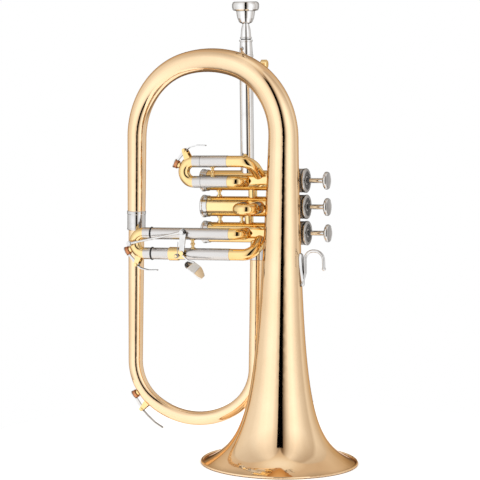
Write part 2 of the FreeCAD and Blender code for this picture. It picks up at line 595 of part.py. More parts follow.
# ---- leadpipe and mouthpiece -----------------------------------------------------------------
def make_leadpipe(bow_body):
    sleeve = ring(PIPE_OUTER, PIPE_SLEEVE_BORE, (0, 0, 0), (0, 0, CLAMP_HIGH - 0.5))
    nodes["leadpipe_sleeve"] = on_pipe(sleeve).cut(in_block(casing_solid(VALVES[1])))
    low, high, r = CLAMP_LOW, CLAMP_HIGH, CLAMP_RADIUS
    collar = turned([(PIPE_OUTER + 0.02, low), (r - 0.4, low), (r, low + 0.5), (r, high - 0.5),
                     (r - 0.4, high), (PIPE_OUTER + 0.02, high)])
    boss = cylinder(3.2, (r - 1.2, 0, (low + high) / 2), (r + 2.2, 0, (low + high) / 2))
    bored = cylinder(1.75, (PIPE_OUTER, 0, (low + high) / 2), (r + 3, 0, (low + high) / 2))
    saddle = Part.makeBox(9, 3, 6, Vector(-4.5, -r - 1.6, low + 2))
    clamp = joined([collar, boss, saddle]).cut(bored).cut(Part.makeCylinder(PIPE_OUTER + 0.02, high + 5))
    nodes["leadpipe_clamp"] = on_pipe(clamp).cut(bow_body)
    tube = ring(PIPE_INNER, PIPE_BORE, (0, 0, 42), (0, 0, RECEIVER_LOW + 0.1))
    low, high = RECEIVER_LOW, RECEIVER_HIGH
    receiver = turned([(PIPE_BORE, low), (6.7, low), (7.0, low + 0.4), (7.0, low + 2.2), (6.6, low + 2.8),
                       (5.85, high - 2.6), (5.85, high - 2.0), (6.5, high - 1.7), (6.5, high - 0.4),
                       (6.2, high), (5.35, high), (4.9, low + 2)])
    screw_at = 128.3
    toward = Vector(-0.31, -0.95, 0)
    hole = cylinder(1.0, (0, 0, screw_at), toward * 9 + Vector(0, 0, screw_at))
    nodes["leadpipe"] = on_pipe(joined([tube, receiver]).cut(hole))
    start = toward * 5.4 + Vector(0, 0, screw_at)
    head = toward * 6.55 + Vector(0, 0, screw_at)
    screw = joined([cylinder(0.98, start, head), cylinder(1.7, head, head + toward * 1.0)])
    slot = Part.makeBox(0.5, 1.2, 4.0, Vector(-0.25, 0.6, -2))
    slot = placed(slot, Placement(head, Rotation(Y, toward)))
    nodes["receiver_screw"] = on_pipe(screw.cut(slot))


def make_tuning_screw():
    middle = (CLAMP_LOW + CLAMP_HIGH) / 2
    start, end = PIPE_OUTER + 0.8, CLAMP_RADIUS + 7.4
    shaft = cylinder(1.7, (start, 0, middle), (end + 0.5, 0, middle))
    knob = turned([(0, 0), (3.6, 0), (4.6, 0.8), (4.6, 5.4), (3.8, 6.3), (2.6, 6.6), (0, 6.7)])
    for step in range(24):
        angle = 2 * math.pi * step / 24
        groove = Part.makeCylinder(0.22, 6, Vector(4.7 * math.cos(angle), 4.7 * math.sin(angle), 0.4))
        knob = knob.cut(groove)
    nodes["tuning_screw"] = on_pipe(joined([shaft, placed(knob, along((end, 0, middle), X))]))


def make_mouthpiece():
    top = MOUTHPIECE_TOP
    shank_end = RECEIVER_LOW + 4
    step = RECEIVER_HIGH + 0.5
    points = [(2.9, shank_end), (4.0, shank_end), (4.75, step), (5.75, step + 0.7), (5.75, step + 1.7),
              (5.1, step + 2.2), (4.6, top - 27.5), (4.1, top - 25), (3.4, top - 22.6), (3.4, top - 21.3),
              (5.7, top - 20.3), (6.6, top - 19.4), (8.0, top - 16), (8.8, top - 12), (9.1, top - 9),
              (11.8, top - 8.5), (12.6, top - 7.4), (13.1, top - 5.4), (13.1, top - 2.6),
              (12.3, top - 0.7), (10.8, top), (9.4, top - 0.5), (8.5, top - 1.9), (7.2, top - 7.0),
              (2.1, top - 20), (2.1, top - 24)]
    nodes["mouthpiece"] = on_pipe(turned(points))


# ---- finger hook and stays -------------------------------------------------------------------
def make_finger_hook(bell_body):
    """Bent wire on a leaf-shaped foot that tapers to a point."""
    route = [(20.3, 0, 174.6), (23.9, 0, 187), (23.4, 0, 208.2), (41.6, 0, 208.2), (42.6, 0, 192.5)]
    wire = rounded_path(route, [9, 8.5, 8.5])
    ball = Part.makeSphere(1.9, Vector(42.7, 0, 191.6))
    side = [(2.2, 205.5), (3.6, 201), (3.2, 192), (0.5, 172)]
    leaf = [Vector(10, y, z) for y, z in side] + [Vector(10, -y, z) for y, z in reversed(side)]
    outline = Part.Face(Part.makePolygon(leaf + leaf[:1])).extrude(X * 20)
    foot = link_plate((18.6, 203), 2.2, (20.6, 175.5), 2.4, -4, 4).common(outline)
    nodes["finger_hook"] = joined([swept(wire, 1.45), ball, foot]).cut(bell_body)


def make_bell_braces(bell_body, bow_body, tube_body):
    """Two short stays from casings to bell, and a longer one from the outlet leg."""
    stays = []
    for number in (1, 3):
        w = VALVES[number]
        post = collared_post((36, -9.3, w), (36, -17.5, w), 2.2, 3.6)
        stays.append(in_block(post.cut(casing_solid(w))).cut(bell_body).cut(bow_body))
    height = 117.0
    target = Vector(MAIN_RIGHT, VALVE_PLANE, 0)
    step = target.normalize()
    start = step * (bell_radius(height) - 1.2) + Vector(0, 0, height)
    end = Vector(MAIN_RIGHT, VALVE_PLANE, height) - step * (MAIN_TUBE[4] - 0.6)
    stay = joined([cylinder(1.8, start, end), cylinder(4.6, start, start + step * 2.2),
                   cylinder(4.2, end - step * 1.6, end)])
    stays.append(stay.cut(bell_body).cut(tube_body))
    nodes["bell_braces"] = Part.makeCompound(stays)


# ---- water keys ------------------------------------------------------------------------------
def water_key(name, plane, arc_centre, arc_radius, tube_radius, pad_angle, pivot, tail, stand, place):
    """Water key drawn in (x, z) at one Y plane, on a tube bent about arc_centre.

    The pad closes a nipple at pad_angle, the lever turns at pivot, tail leads from it to the thumb
    end, stand is the tube's solid and place moves the drawing into the row frame."""
    outward = Vector(math.cos(pad_angle), 0, math.sin(pad_angle))
    centre = Vector(arc_centre[0], plane, arc_centre[1])
    surface = arc_radius + tube_radius
    pad_low, pad_high = surface + 1.85, surface + 5.0
    nipple = ring(2.9, 1.5, centre + outward * (surface - 2), centre + outward * (pad_low - 0.25)).cut(stand)
    nipple = max(nipple.Solids, key=lambda piece: piece.BoundBox.DiagonalLength)
    cork = cylinder(4.1, centre + outward * pad_low, centre + outward * pad_high)
    cup = cylinder(4.5, centre + outward * pad_high, centre + outward * (pad_high + 0.9))
    cup_top = centre + outward * (pad_high + 0.4)

    def across(radius, low, high):
        return cylinder(radius, (pivot[0], plane + low, pivot[1]), (pivot[0], plane + high, pivot[1]))

    arm = link_plate(pivot, 1.5, (cup_top.x, cup_top.z), 0.7, plane - 1.1, plane + 1.1)
    thumb = strip([pivot] + tail, 1.0, plane - 2.0, plane + 2.0)
    lever = joined([across(1.9, -1.8, 1.8), arm, cup, thumb]).cut(across(0.86, -6, 6)).cut(cork)
    pin = joined([across(0.8, -4.8, 4.3), across(1.5, -4.8, -4.05)])
    to_pivot = (Vector(pivot[0], plane, pivot[1]) - centre).normalize()
    base = centre + to_pivot * (surface - 1.5)
    cheeks = [link_plate(pivot, 1.9, (base.x, base.z), 3.0, plane + low, plane + low + 1.0)
              for low in (-4.0, 3.0)]
    bridge = cylinder(3.0, (base.x, plane - 4.0, base.z), (base.x, plane + 4.0, base.z))
    saddle = joined(cheeks + [bridge]).cut(stand).cut(across(0.81, -6, 6)).cut(across(2.5, -2.9, 2.9))
    saddle = max(saddle.Solids, key=lambda piece: piece.BoundBox.YLength)
    spring = joined([Part.makeTorus(1.3, 0.3, Vector(pivot[0], plane + y, pivot[1]), Y) for y in (2.36, 2.6)])
    nodes[name + "_saddle"] = Part.makeCompound([place(saddle), place(nipple), place(pin)])
    nodes[name] = place(lever)
    nodes[name + "_cork"] = place(cork)
    nodes[name + "_spring"] = place(spring)


def make_slide_water_key(number, name, ferrule):
    """Key on the crook of the first slide, or mirrored on the third."""
    inner, outer = slide_heights(number)
    side = 1 if outer > inner else -1
    centre = (ferrule, (inner + outer) / 2)
    pivot = (centre[0] + KEY_PIVOT_REACH * math.cos(KEY_PIVOT_ANGLE),
             centre[1] + side * KEY_PIVOT_REACH * math.sin(KEY_PIVOT_ANGLE))
    tail = [(pivot[0] + dx, pivot[1] + side * dz) for dx, dz in KEY_TAIL]
    legs = [cylinder(SLEEVE_RADIUS, (ferrule, LEG_V, w), (SLEEVE_END, LEG_V, w)) for w in (inner, outer)]
    stand = joined([swept(crook_arc(number, ferrule), CROOK_RADIUS + 0.01)] + legs)
    water_key(name, LEG_V, centre, LEG_GAP / 2, CROOK_RADIUS, side * KEY_PAD_ANGLE, pivot, tail, stand,
              in_block)


def make_main_water_key(tube_body):
    centre = (MAIN_LEFT + MAIN_CORNER_R, MAIN_BEND_Z)
    water_key("main_water_key", VALVE_PLANE, centre, MAIN_CORNER_R, MAIN_TUBE[1], MAIN_PAD_ANGLE,
              MAIN_KEY_PIVOT, MAIN_KEY_TAIL, tube_body, lambda shape: shape)


# ---- trigger ---------------------------------------------------------------------------------
def pivot_cylinder(radius, point, y_low, y_high):
    return cylinder(radius, (point[0], y_low, point[1]), (point[0], y_high, point[1]))


def make_trigger_lever():
    low, high = LEVER_Y
    plate = link_plate(TRIGGER_PIVOT, 2.4, TRIGGER_TOP, 3.2, low, high)
    tail = strip([TRIGGER_PIVOT] + TRIGGER_TAIL, 1.3, low, high)
    paddle = strip(TRIGGER_PADDLE, 1.3, high - PADDLE_WIDTH, high)
    (neck_x, neck_z), (x, z), (tip_x, tip_z) = TRIGGER_PADDLE[0], TRIGGER_PADDLE[1], TRIGGER_PADDLE[-1]
    half, floor, depth = PADDLE_WIDTH / 2, z - 30, 60
    inner, outer = neck_x + half, tip_x - half
    rounds = [Part.makeCylinder(half, depth, Vector(end, high - half, floor)) for end in (inner, outer)]
    middle = Part.makeBox(outer - inner, PADDLE_WIDTH, depth, Vector(inner, high - PADDLE_WIDTH, floor))
    outline = joined(rounds + [middle])
    chord = Vector(tip_x - neck_x, 0, tip_z - neck_z)
    rolled = Placement(Vector(), Rotation(chord, PADDLE_ROLL), Vector(x, high, z))
    paddle = placed(paddle.common(outline), rolled)
    pin = joined([pivot_cylinder(0.9, TRIGGER_TOP, ROD_Y[0] - 1.2, low),
                  pivot_cylinder(2.0, TRIGGER_TOP, ROD_Y[0] - 1.2, ROD_Y[0] - 0.3)])
    hole = pivot_cylinder(1.26, TRIGGER_PIVOT, low - 1, high + 1)
    nodes["trigger_lever"] = joined([plate, tail, paddle, pin]).cut(hole)


def make_trigger_rod():
    low, high = ROD_Y
    middle = (low + high) / 2
    ends = [pivot_cylinder(2.6, point, low, high) for point in (ROD_ANCHOR, TRIGGER_TOP)]
    pin = [pivot_cylinder(ROD_PIN, ROD_ANCHOR, low, ROD_PIN_END),
           pivot_cylinder(1.9, ROD_ANCHOR, low - 0.9, low)]
    tail, head = (Vector(x, middle, z) for x, z in (ROD_ANCHOR, TRIGGER_TOP))
    direction = (head - tail).normalize()
    sockets = []
    for point, step in ((tail, direction), (head, -direction)):
        sockets.append(cylinder(1.3, point + step * 2, point + step * 9))
    rod = joined(ends + sockets + pin + [cylinder(1.05, tail, head)])
    nodes["trigger_rod"] = rod.cut(pivot_cylinder(1.6, TRIGGER_TOP, low - 1, high + 1))


def add_rod_post():
    """Post on the front of the third slide's crook, bored for the rod's pin."""
    start = ROD_Y[1] + 0.3
    bore = pivot_cylinder(ROD_PIN + 0.07, ROD_ANCHOR, start - 1, ROD_PIN_END + 0.3)
    post = pivot_cylinder(2.5, ROD_ANCHOR, start, 6.2).cut(bore)
    inside = in_block(swept(crook_arc(3, THIRD_FERRULE), CROOK_RADIUS - 0.3))
    nodes["third_slide_crook"] = nodes["third_slide_crook"].fuse(post.cut(inside))


def make_trigger_bracket():
    outer = slide_heights(3)[1]
    leg_z = (LEG_V, outer)
    strap = ring(6.6, SLEEVE_RADIUS + 0.02, (BRACKET_U[0], *leg_z), (BRACKET_U[0] + 9.5, *leg_z))
    tongue = ring(6.6, SLEEVE_RADIUS + 0.02, (BRACKET_U[0] + 8, *leg_z), (BRACKET_U[1], *leg_z))
    tongue = tongue.common(Part.makeBox(30, 4, 9, Vector(BRACKET_U[0], LEG_V - 7, outer - 4.5)))
    body = in_block(joined([strap, tongue]))
    posts = [pivot_cylinder(2.4, TRIGGER_PIVOT, LEVER_Y[1] + 0.3, 6.0),
             pivot_cylinder(1.3, SPRING_PEG, -1.0, 6.0)]
    sleeve = in_block(cylinder(SLEEVE_RADIUS + 0.02, (THIRD_SLEEVE, *leg_z), (SLEEVE_END, *leg_z)))
    screw_hole = pivot_cylinder(1.2, TRIGGER_PIVOT, 0, 6)
    bracket = joined([body] + posts).cut(sleeve).cut(screw_hole)
    screw = joined([pivot_cylinder(1.19, TRIGGER_PIVOT, LEVER_Y[0] - 0.5, 4.0),
                    pivot_cylinder(2.2, TRIGGER_PIVOT, LEVER_Y[0] - 1.1, LEVER_Y[0] - 0.25)])
    nodes["trigger_bracket"] = Part.makeCompound([bracket, screw])


def make_trigger_spring():
    """Torsion spring on its peg, one end leaning on the lever."""
    wire, coil, pitch, turns = 0.35, 1.8, 0.8, 4
    helix = Part.makeHelix(pitch, pitch * turns, coil)
    start = Part.Wire(Part.makeCircle(wire, Vector(coil, 0, 0), Vector(0, coil, pitch / (2 * math.pi))))
    coils = Part.Wire(helix).makePipeShell([start], True, True)
    coils = placed(coils, Placement(Vector(SPRING_PEG[0], 2.95, SPRING_PEG[1]), Rotation(X, 90)))
    low = 2.95 - pitch * turns
    arm = rounded_path([(SPRING_PEG[0] + coil, low, SPRING_PEG[1] - 1),
                        (SPRING_PEG[0] + coil - 0.2, low, SPRING_PEG[1] + 5),
                        (TRIGGER_PIVOT[0] - 3.8, 1.2, TRIGGER_PIVOT[1] + 11)], [4])
    nodes["trigger_spring"] = coils.fuse(swept(arm, wire))


# ---- assembly --------------------------------------------------------------------------------
bell_body = make_bell()
bow_body = make_bell_bow()
tube_body = make_main_tube()
make_ferrules(bow_body, tube_body)
for number, height in VALVES.items():
    make_casing(number, height)
    make_piston(number, height)
    make_stem(number, height)
    make_button(number, height)
make_caps()
make_valve_springs()
make_casing_posts()
make_casing_knuckles()
make_slide_knuckles(1, "first_slide")
make_slide_knuckles(3, "third_slide")
make_slide(1, "first_slide", FIRST_FERRULE, FIRST_SLEEVE, FIRST_TRAVEL)
make_slide(3, "third_slide", THIRD_FERRULE, THIRD_SLEEVE, THIRD_TRAVEL)
make_second_slide()
make_slide_braces()
make_bumper_rings()
make_leadpipe(bow_body)
make_tuning_screw()
make_mouthpiece()
make_finger_hook(bell_body)
make_bell_braces(bell_body, bow_body, tube_body)
make_slide_water_key(1, "first_slide_water_key", FIRST_FERRULE)
make_slide_water_key(3, "third_slide_water_key", THIRD_FERRULE)
make_main_water_key(tube_body)
make_trigger_lever()
make_trigger_rod()
add_rod_post()
make_trigger_bracket()
make_trigger_spring()

os.makedirs("parts", exist_ok=True)
for name, shape in nodes.items():
    if not shape.isValid():
        print("invalid:", name)
    shape.exportStep("parts/%s.step" % name)
print(len(nodes), "nodes")
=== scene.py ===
"""Flugelhorn: finishes, fine detail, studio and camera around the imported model. All sizes are metres."""

import math

import bmesh
import bpy
from mathutils import Matrix, Vector


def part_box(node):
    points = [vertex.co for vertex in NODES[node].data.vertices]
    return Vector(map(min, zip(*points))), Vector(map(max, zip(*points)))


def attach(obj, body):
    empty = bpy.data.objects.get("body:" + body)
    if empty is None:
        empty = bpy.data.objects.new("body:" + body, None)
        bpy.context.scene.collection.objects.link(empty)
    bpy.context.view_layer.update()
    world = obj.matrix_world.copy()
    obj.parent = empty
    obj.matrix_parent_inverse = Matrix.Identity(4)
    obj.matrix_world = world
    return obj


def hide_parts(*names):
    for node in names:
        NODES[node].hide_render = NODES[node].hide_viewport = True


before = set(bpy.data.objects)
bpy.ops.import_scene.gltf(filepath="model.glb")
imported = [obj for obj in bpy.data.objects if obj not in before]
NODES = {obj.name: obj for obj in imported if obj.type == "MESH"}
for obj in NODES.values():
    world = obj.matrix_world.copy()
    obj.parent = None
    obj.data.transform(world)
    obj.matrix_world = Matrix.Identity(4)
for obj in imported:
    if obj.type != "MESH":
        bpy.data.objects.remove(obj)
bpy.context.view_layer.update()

# ---------------------------------------------------------------- camera and studio dimensions
VIEW_AZIMUTH = math.radians(21.0)
VIEW_ELEVATION = math.radians(6.574)
VIEW_ROLL = math.radians(0.595)
VIEW_DISTANCE = 2.2
VIEW_AIM = Vector((-0.04333, 0.0, 0.21497))
LENS, SENSOR = 170.8, 36.0      # millimetres
FLOOR_RADIUS = 0.32
FLOOR_WHITE = (0.93, 0.93, 0.93, 1.0)
FLOOR_GLOW = 0.62
SHADOW_REACH, SHADOW_SPAN = 0.010, (0.3, 0.95)        # a painted contact shadow: the floor's glow fades within this reach of the bell
BACKGROUND_WHITE = (1.0, 1.0, 1.0, 1.0)
STUDIO_STRENGTH = 1.0

# The light tent round the horn: brightness of its wall by the angle round from the camera, in
# degrees, positive to the camera's right. It is dark behind the horn, which outlines each tube.
TENT_WALL = (
    (-180, 0.10), (-170, 0.16), (-163, 0.95), (-145, 0.95), (-140, 0.40), (-134, 0.44), (-129, 0.86),
    (-95, 0.88), (-78, 1.00), (-62, 1.18), (-46, 1.27), (-26, 1.17), (-12, 0.77), (-6, 0.52),
    (7, 0.10), (10, 0.19), (14, 0.40), (21, 0.78), (32, 1.14), (47, 1.31), (62, 1.10), (76, 0.87),
    (90, 0.72), (100, 0.66), (110, 0.88), (122, 0.80), (134, 0.72), (148, 0.90), (163, 0.80),
    (171, 0.16), (180, 0.10),
)
WALL_TOP, WALL_FADE = (0.30, 0.19, 0.10, 1.0), 0.36     # a share of this colour joins at its top
# The ceiling's colour by the sine of the elevation: bright overhead, warm and dim round it.
CEILING = (
    (0.20, (0.72, 0.68, 0.64, 1.0)), (0.60, (0.76, 0.68, 0.60, 1.0)), (0.78, (0.66, 0.55, 0.45, 1.0)),
    (0.90, (0.66, 0.55, 0.45, 1.0)), (0.95, (0.78, 0.69, 0.59, 1.0)), (0.985, (0.93, 0.89, 0.83, 1.0)),
    (1.00, (0.97, 0.96, 0.94, 1.0)),
)
REAR_CARD = (0.50, 0.44, 0.38, 1.0)
PIT = (0.26, 0.21, 0.17, 1.0)
GAP_BLACK = (0.0, 0.0, 0.0, 1.0)
WARM_SHADE = (1.0, 0.80, 0.62)  # how the wall's red, green and blue hold up where it is dim

# Where the parts of the tent begin and end. A direction's three shares point up, forward to the
# camera and aside from it; a pair says where a part fades in and where it is whole.
FADE_UP = (0.45, 0.85)
GAP_SHARE, GAP_SOFT = 0.07, 0.006       # half the dark gap's width as a share of 1 + forward; its edge
GAP_FORWARD, GAP_UP = (0.0, 0.05), (0.82, 0.80)
CEILING_FRONT, CEILING_SPREAD, CEILING_SOFT = 0.56, 0.55, 0.03
CEILING_UP = (0.12, 0.25)
CARD_FORWARD, CARD_ASIDE = (-0.45, -0.60), (0.34, 0.24)
PIT_UP, PIT_FORWARD = (-0.3, -0.5), (0.0, -0.25)

# ---------------------------------------------------------------- sizes of the fine detail
CASING_LENGTH = 0.0969
CAP_LENGTH, CAP_RADIUS = 0.0115, 0.0119
CAP_DEPTH = 0.003               # thread that a cap covers
CAP_BORE = 0.00985              # over the casing
CAP_ROOF = 0.0026               # from the cap's face to its underside
CAP_GROOVE, CAP_COLLAR, CAP_HOLE = 0.0086, 0.0046, 0.0026       # radii of the face
GROOVE_DEPTH, COLLAR_DROP = 0.0015, 0.0005
SKIRT_INSET = 0.0003            # the skirt stands in from the rim
SKIRT_RADIUS = CAP_RADIUS - SKIRT_INSET
KNURL_COUNT, KNURL_SEGMENTS, KNURL_ROWS = 44, 6, 18             # points round, cuts per point, rows
KNURL_PITCH, KNURL_DEPTH = 0.0017, 0.0006
KNURL_START, KNURL_END = 0.0008, CAP_LENGTH - 0.0038
RIM_STEPS, RIM_MIDDLE = 8, CAP_LENGTH - 0.0015
RIM_ROUND, RIM_HALF = 0.0009, 0.0012
EDGE = 0.0003                   # small rounded or cut edges
SHARP_ANGLE = math.radians(35.0)


# ---------------------------------------------------------------- node helpers
class Shader:
    """A node tree with short calls to add nodes and join them."""

    def __init__(self, tree):
        self.tree = tree
        tree.nodes.clear()

    def add(self, kind, **settings):
        node = self.tree.nodes.new(kind)
        for name, value in settings.items():
            setattr(node, name, value)
        return node

    def join(self, output, socket):
        self.tree.links.new(output, socket)

    def put(self, source, socket):
        """Links a socket, or sets a plain value."""
        if isinstance(source, bpy.types.NodeSocket):
            self.join(source, socket)
        else:
            socket.default_value = source

    def math(self, operation, first, second=None):
        node = self.add("ShaderNodeMath", operation=operation)
        self.put(first, node.inputs[0])
        if second is not None:
            self.put(second, node.inputs[1])
        return node.outputs[0]

    def product(self, first, *others):
        for other in others:
            first = self.math("MULTIPLY", first, other)
        return first

    def dot(self, vector, direction):
        node = self.add("ShaderNodeVectorMath", operation="DOT_PRODUCT")
        self.join(vector, node.inputs[0])
        node.inputs[1].default_value = direction
        return node.outputs["Value"]

    def map_range(self, source, low, high, to_low, to_high):
        node = self.add("ShaderNodeMapRange", clamp=True)
        self.put(source, node.inputs["Value"])
        node.inputs["From Min"].default_value = low
        node.inputs["From Max"].default_value = high
        node.inputs["To Min"].default_value = to_low
        node.inputs["To Max"].default_value = to_high
        return node.outputs["Result"]

    def rise(self, source, start, end):
        """From 0 at start to 1 at end; start may be the larger of the two."""
        return self.map_range(source, start, end, 0.0, 1.0)

    def mix_colour(self, factor, first, second):
        node = self.add("ShaderNodeMix", data_type="RGBA")
        self.put(factor, node.inputs[0])
        self.put(first, node.inputs[6])
        self.put(second, node.inputs[7])
        return node.outputs[2]

    def ramp(self, source, stops):
        """A colour ramp with (position, colour) stops."""
        node = self.add("ShaderNodeValToRGB")
        band = node.color_ramp
        while len(band.elements) > 1:
            band.elements.remove(band.elements[-1])
        band.elements[0].position, band.elements[0].color = stops[0]
        for position, colour in stops[1:]:
            band.elements.new(position).color = colour
        self.join(source, node.inputs[0])
        return node.outputs["Color"]

    def position(self, scale):
        """The surface point in metres, stretched by scale."""
        place = self.add("ShaderNodeTexCoord")
        node = self.add("ShaderNodeMapping")
        node.inputs["Scale"].default_value = scale
        self.join(place.outputs["Object"], node.inputs["Vector"])
        return node.outputs["Vector"]

    def noise(self, scale, detail=3.0, roughness=0.5, stretch=(1.0, 1.0, 1.0)):
        node = self.add("ShaderNodeTexNoise")
        self.join(self.position(stretch), node.inputs["Vector"])
        node.inputs["Scale"].default_value = scale
        node.inputs["Detail"].default_value = detail
        node.inputs["Roughness"].default_value = roughness
        return node.outputs["Fac"]

    def openness(self, reach):
        """1 where nothing stands within reach of the surface, less where something does."""
        node = self.add("ShaderNodeAmbientOcclusion", samples=8)
        node.inputs["Distance"].default_value = reach
        return node.outputs["AO"]

    def grime_and_shade(self, clean, dirt_and_shade, soil_and_shade):
        """A colour that darkens into crevices, partly dirt and partly painted shade; the last argument says
        at what openness it starts and is full.
        """
        share = self.rise(self.openness(CREVICE_REACH), *soil_and_shade)
        return self.mix_colour(share, clean, dirt_and_shade)

    def bump(self, height, strength, distance):
        node = self.add("ShaderNodeBump")
        self.join(height, node.inputs["Height"])
        node.inputs["Strength"].default_value = strength
        node.inputs["Distance"].default_value = distance
        return node.outputs["Normal"]


def new_material(name):
    """An empty material, its shader helper and its Principled node."""
    material = bpy.data.materials.new(name)
    material.use_nodes = True
    shader = Shader(material.node_tree)
    principled = shader.add("ShaderNodeBsdfPrincipled")
    output = shader.add("ShaderNodeOutputMaterial")
    shader.join(principled.outputs["BSDF"], output.inputs["Surface"])
    return material, shader, principled


# ---------------------------------------------------------------- materials
# Colours and openness spans of the crevice darkening: partly dirt, partly painted shade.
GREY_DIRT_AND_SHADE = (0.07, 0.067, 0.063, 1.0)
BRASS_DIRT_AND_SHADE = (0.42, 0.30, 0.22, 1.0)        # the share of brass's colour that is left in a crevice, as dirt and painted shade
CREVICE_REACH = 0.0016
LIGHT_SOIL_AND_SHADE, KNURL_SOIL_AND_SHADE = (0.85, 0.25), (0.97, 0.55)


def lacquered_brass(name, light, deep, roughness):
    """Polished brass under clear lacquer: a faint cloudiness of tone, polishing haze and orange peel."""
    material, shader, principled = new_material(name)
    cloud = shader.noise(22.0, detail=4.0, roughness=0.6)
    clean = shader.mix_colour(shader.rise(cloud, 0.35, 0.65), light, deep)
    # Dirt and painted shade: the brass darkens in its crevices.
    dirt_and_shade = tuple(channel * share for channel, share in zip(deep, BRASS_DIRT_AND_SHADE))
    shader.join(shader.grime_and_shade(clean, dirt_and_shade, LIGHT_SOIL_AND_SHADE), principled.inputs["Base Color"])
    haze = shader.noise(140.0, detail=5.0, roughness=0.6)
    polish = shader.map_range(haze, 0.3, 0.75, roughness, roughness * 2.2)
    shader.join(polish, principled.inputs["Roughness"])
    peel = shader.noise(260.0, detail=2.0)
    shader.join(shader.bump(peel, 0.05, 0.00006), principled.inputs["Normal"])
    principled.inputs["Metallic"].default_value = 1.0
    principled.inputs["Specular Tint"].default_value = (0.62, 0.40, 0.22, 1.0)
    principled.inputs["Coat Weight"].default_value = 0.06
    principled.inputs["Coat Roughness"].default_value = 0.03
    principled.inputs["Coat IOR"].default_value = 1.45
    return material


def drawn_metal(name, light, deep, roughness, grain):
    """Satin metal tube: fine drawing lines along the slides, which lie near the X axis."""
    material, shader, principled = new_material(name)
    lines = shader.noise(grain, detail=4.0, roughness=0.65, stretch=(0.04, 1.0, 1.0))
    clean = shader.mix_colour(shader.noise(30.0), light, deep)
    # Dirt and painted shade: the tube darkens to grey in its crevices.
    shader.join(shader.grime_and_shade(clean, GREY_DIRT_AND_SHADE, LIGHT_SOIL_AND_SHADE), principled.inputs["Base Color"])
    satin = shader.map_range(lines, 0.3, 0.7, roughness * 0.8, roughness * 1.25)
    shader.join(satin, principled.inputs["Roughness"])
    shader.join(shader.bump(lines, 0.12, 0.0001), principled.inputs["Normal"])
    principled.inputs["Specular Tint"].default_value = (0.30, 0.29, 0.28, 1.0)
    principled.inputs["Metallic"].default_value = 1.0
    return material


def plated_metal(name, light, deep, roughness, soil_and_shade=LIGHT_SOIL_AND_SHADE):
    """Silver or nickel plate: bright, with a soft tarnish cloud, hairline wear, and dirt and painted shade
    in its crevices.
    """
    material, shader, principled = new_material(name)
    tarnish = shader.noise(75.0, detail=5.0, roughness=0.62)
    clean = shader.mix_colour(shader.rise(tarnish, 0.45, 0.72), light, deep)
    # Dirt and painted shade: the plate darkens to grey in its crevices.
    shader.join(shader.grime_and_shade(clean, GREY_DIRT_AND_SHADE, soil_and_shade), principled.inputs["Base Color"])
    wear = shader.noise(600.0, detail=4.0, roughness=0.7)
    polish = shader.map_range(wear, 0.3, 0.75, roughness * 0.8, roughness * 2.0)
    shader.join(polish, principled.inputs["Roughness"])
    shader.join(shader.bump(wear, 0.04, 0.0001), principled.inputs["Normal"])
    principled.inputs["Specular Tint"].default_value = (0.34, 0.33, 0.32, 1.0)
    principled.inputs["Metallic"].default_value = 1.0
    return material


def felt(name, light, deep):
    """Pressed wool: short tangled fibres with a soft sheen."""
    material, shader, principled = new_material(name)
    fibre = shader.noise(2600.0, detail=6.0, roughness=0.75)
    tangle = shader.rise(shader.product(fibre, shader.noise(500.0)), 0.1, 0.4)
    shader.join(shader.mix_colour(tangle, light, deep), principled.inputs["Base Color"])
    shader.join(shader.bump(fibre, 0.7, 0.0004), principled.inputs["Normal"])
    principled.inputs["Roughness"].default_value = 0.95
    principled.inputs["Sheen Weight"].default_value = 0.5
    return material


def rubber(name, light, deep):
    """Moulded black rubber: matt, with a fine grain and dust-pale patches."""
    material, shader, principled = new_material(name)
    grain = shader.noise(1800.0, detail=4.0, roughness=0.6)
    shader.join(shader.mix_colour(shader.noise(120.0), light, deep), principled.inputs["Base Color"])
    shader.join(shader.map_range(grain, 0.3, 0.7, 0.42, 0.68), principled.inputs["Roughness"])
    shader.join(shader.bump(grain, 0.25, 0.0002), principled.inputs["Normal"])
    return material


# The finish of each packed slot, and of the knurled caps: its maker, its light and deep tones, and
# what else the maker takes.
FINISHES = {
    "rose_brass": (lacquered_brass, (0.985, 0.755, 0.495), (0.95, 0.705, 0.445), 0.035),
    "yellow_brass": (lacquered_brass, (0.97, 0.735, 0.37), (0.90, 0.645, 0.29), 0.05),
    "nickel_silver": (drawn_metal, (0.69, 0.675, 0.67), (0.61, 0.595, 0.585), 0.22, 900.0),
    "monel": (drawn_metal, (0.62, 0.60, 0.57), (0.55, 0.53, 0.50), 0.18, 1200.0),
    "silver_plate": (plated_metal, (0.86, 0.86, 0.86), (0.74, 0.73, 0.72), 0.05),
    "nickel_plate": (plated_metal, (0.72, 0.72, 0.72), (0.60, 0.595, 0.59), 0.06),
    # The knurl's grooves get a stronger painted shade, with some dirt.
    "knurled_nickel": (plated_metal, (0.62, 0.61, 0.60), (0.48, 0.47, 0.46), 0.12, KNURL_SOIL_AND_SHADE),
    "spring_steel": (plated_metal, (0.55, 0.55, 0.56), (0.42, 0.42, 0.43), 0.2),
    "pad_copper": (plated_metal, (0.62, 0.27, 0.13), (0.46, 0.18, 0.09), 0.25),
    "felt": (felt, (0.012, 0.011, 0.010), (0.004, 0.004, 0.004)),
    "black_rubber": (rubber, (0.018, 0.018, 0.02), (0.03, 0.03, 0.031)),
}
MATERIALS = {
    name: maker(name + "_finish", (*light, 1.0), (*deep, 1.0), *settings)
    for name, (maker, light, deep, *settings) in FINISHES.items()
}


POLISHED_FERRULES = ("bow_ferrule", "valve_exit_ferrule")


def finish_nodes():
    """Gives each node the finish of the slot that it was packed with; two ferrules are polished."""
    for node in NODES.values():
        for material_slot in node.material_slots:
            packed = material_slot.material.name.split(".")[0]
            material_slot.material = MATERIALS[packed]
    for name in POLISHED_FERRULES:
        NODES[name].material_slots[0].material = MATERIALS["nickel_plate"]


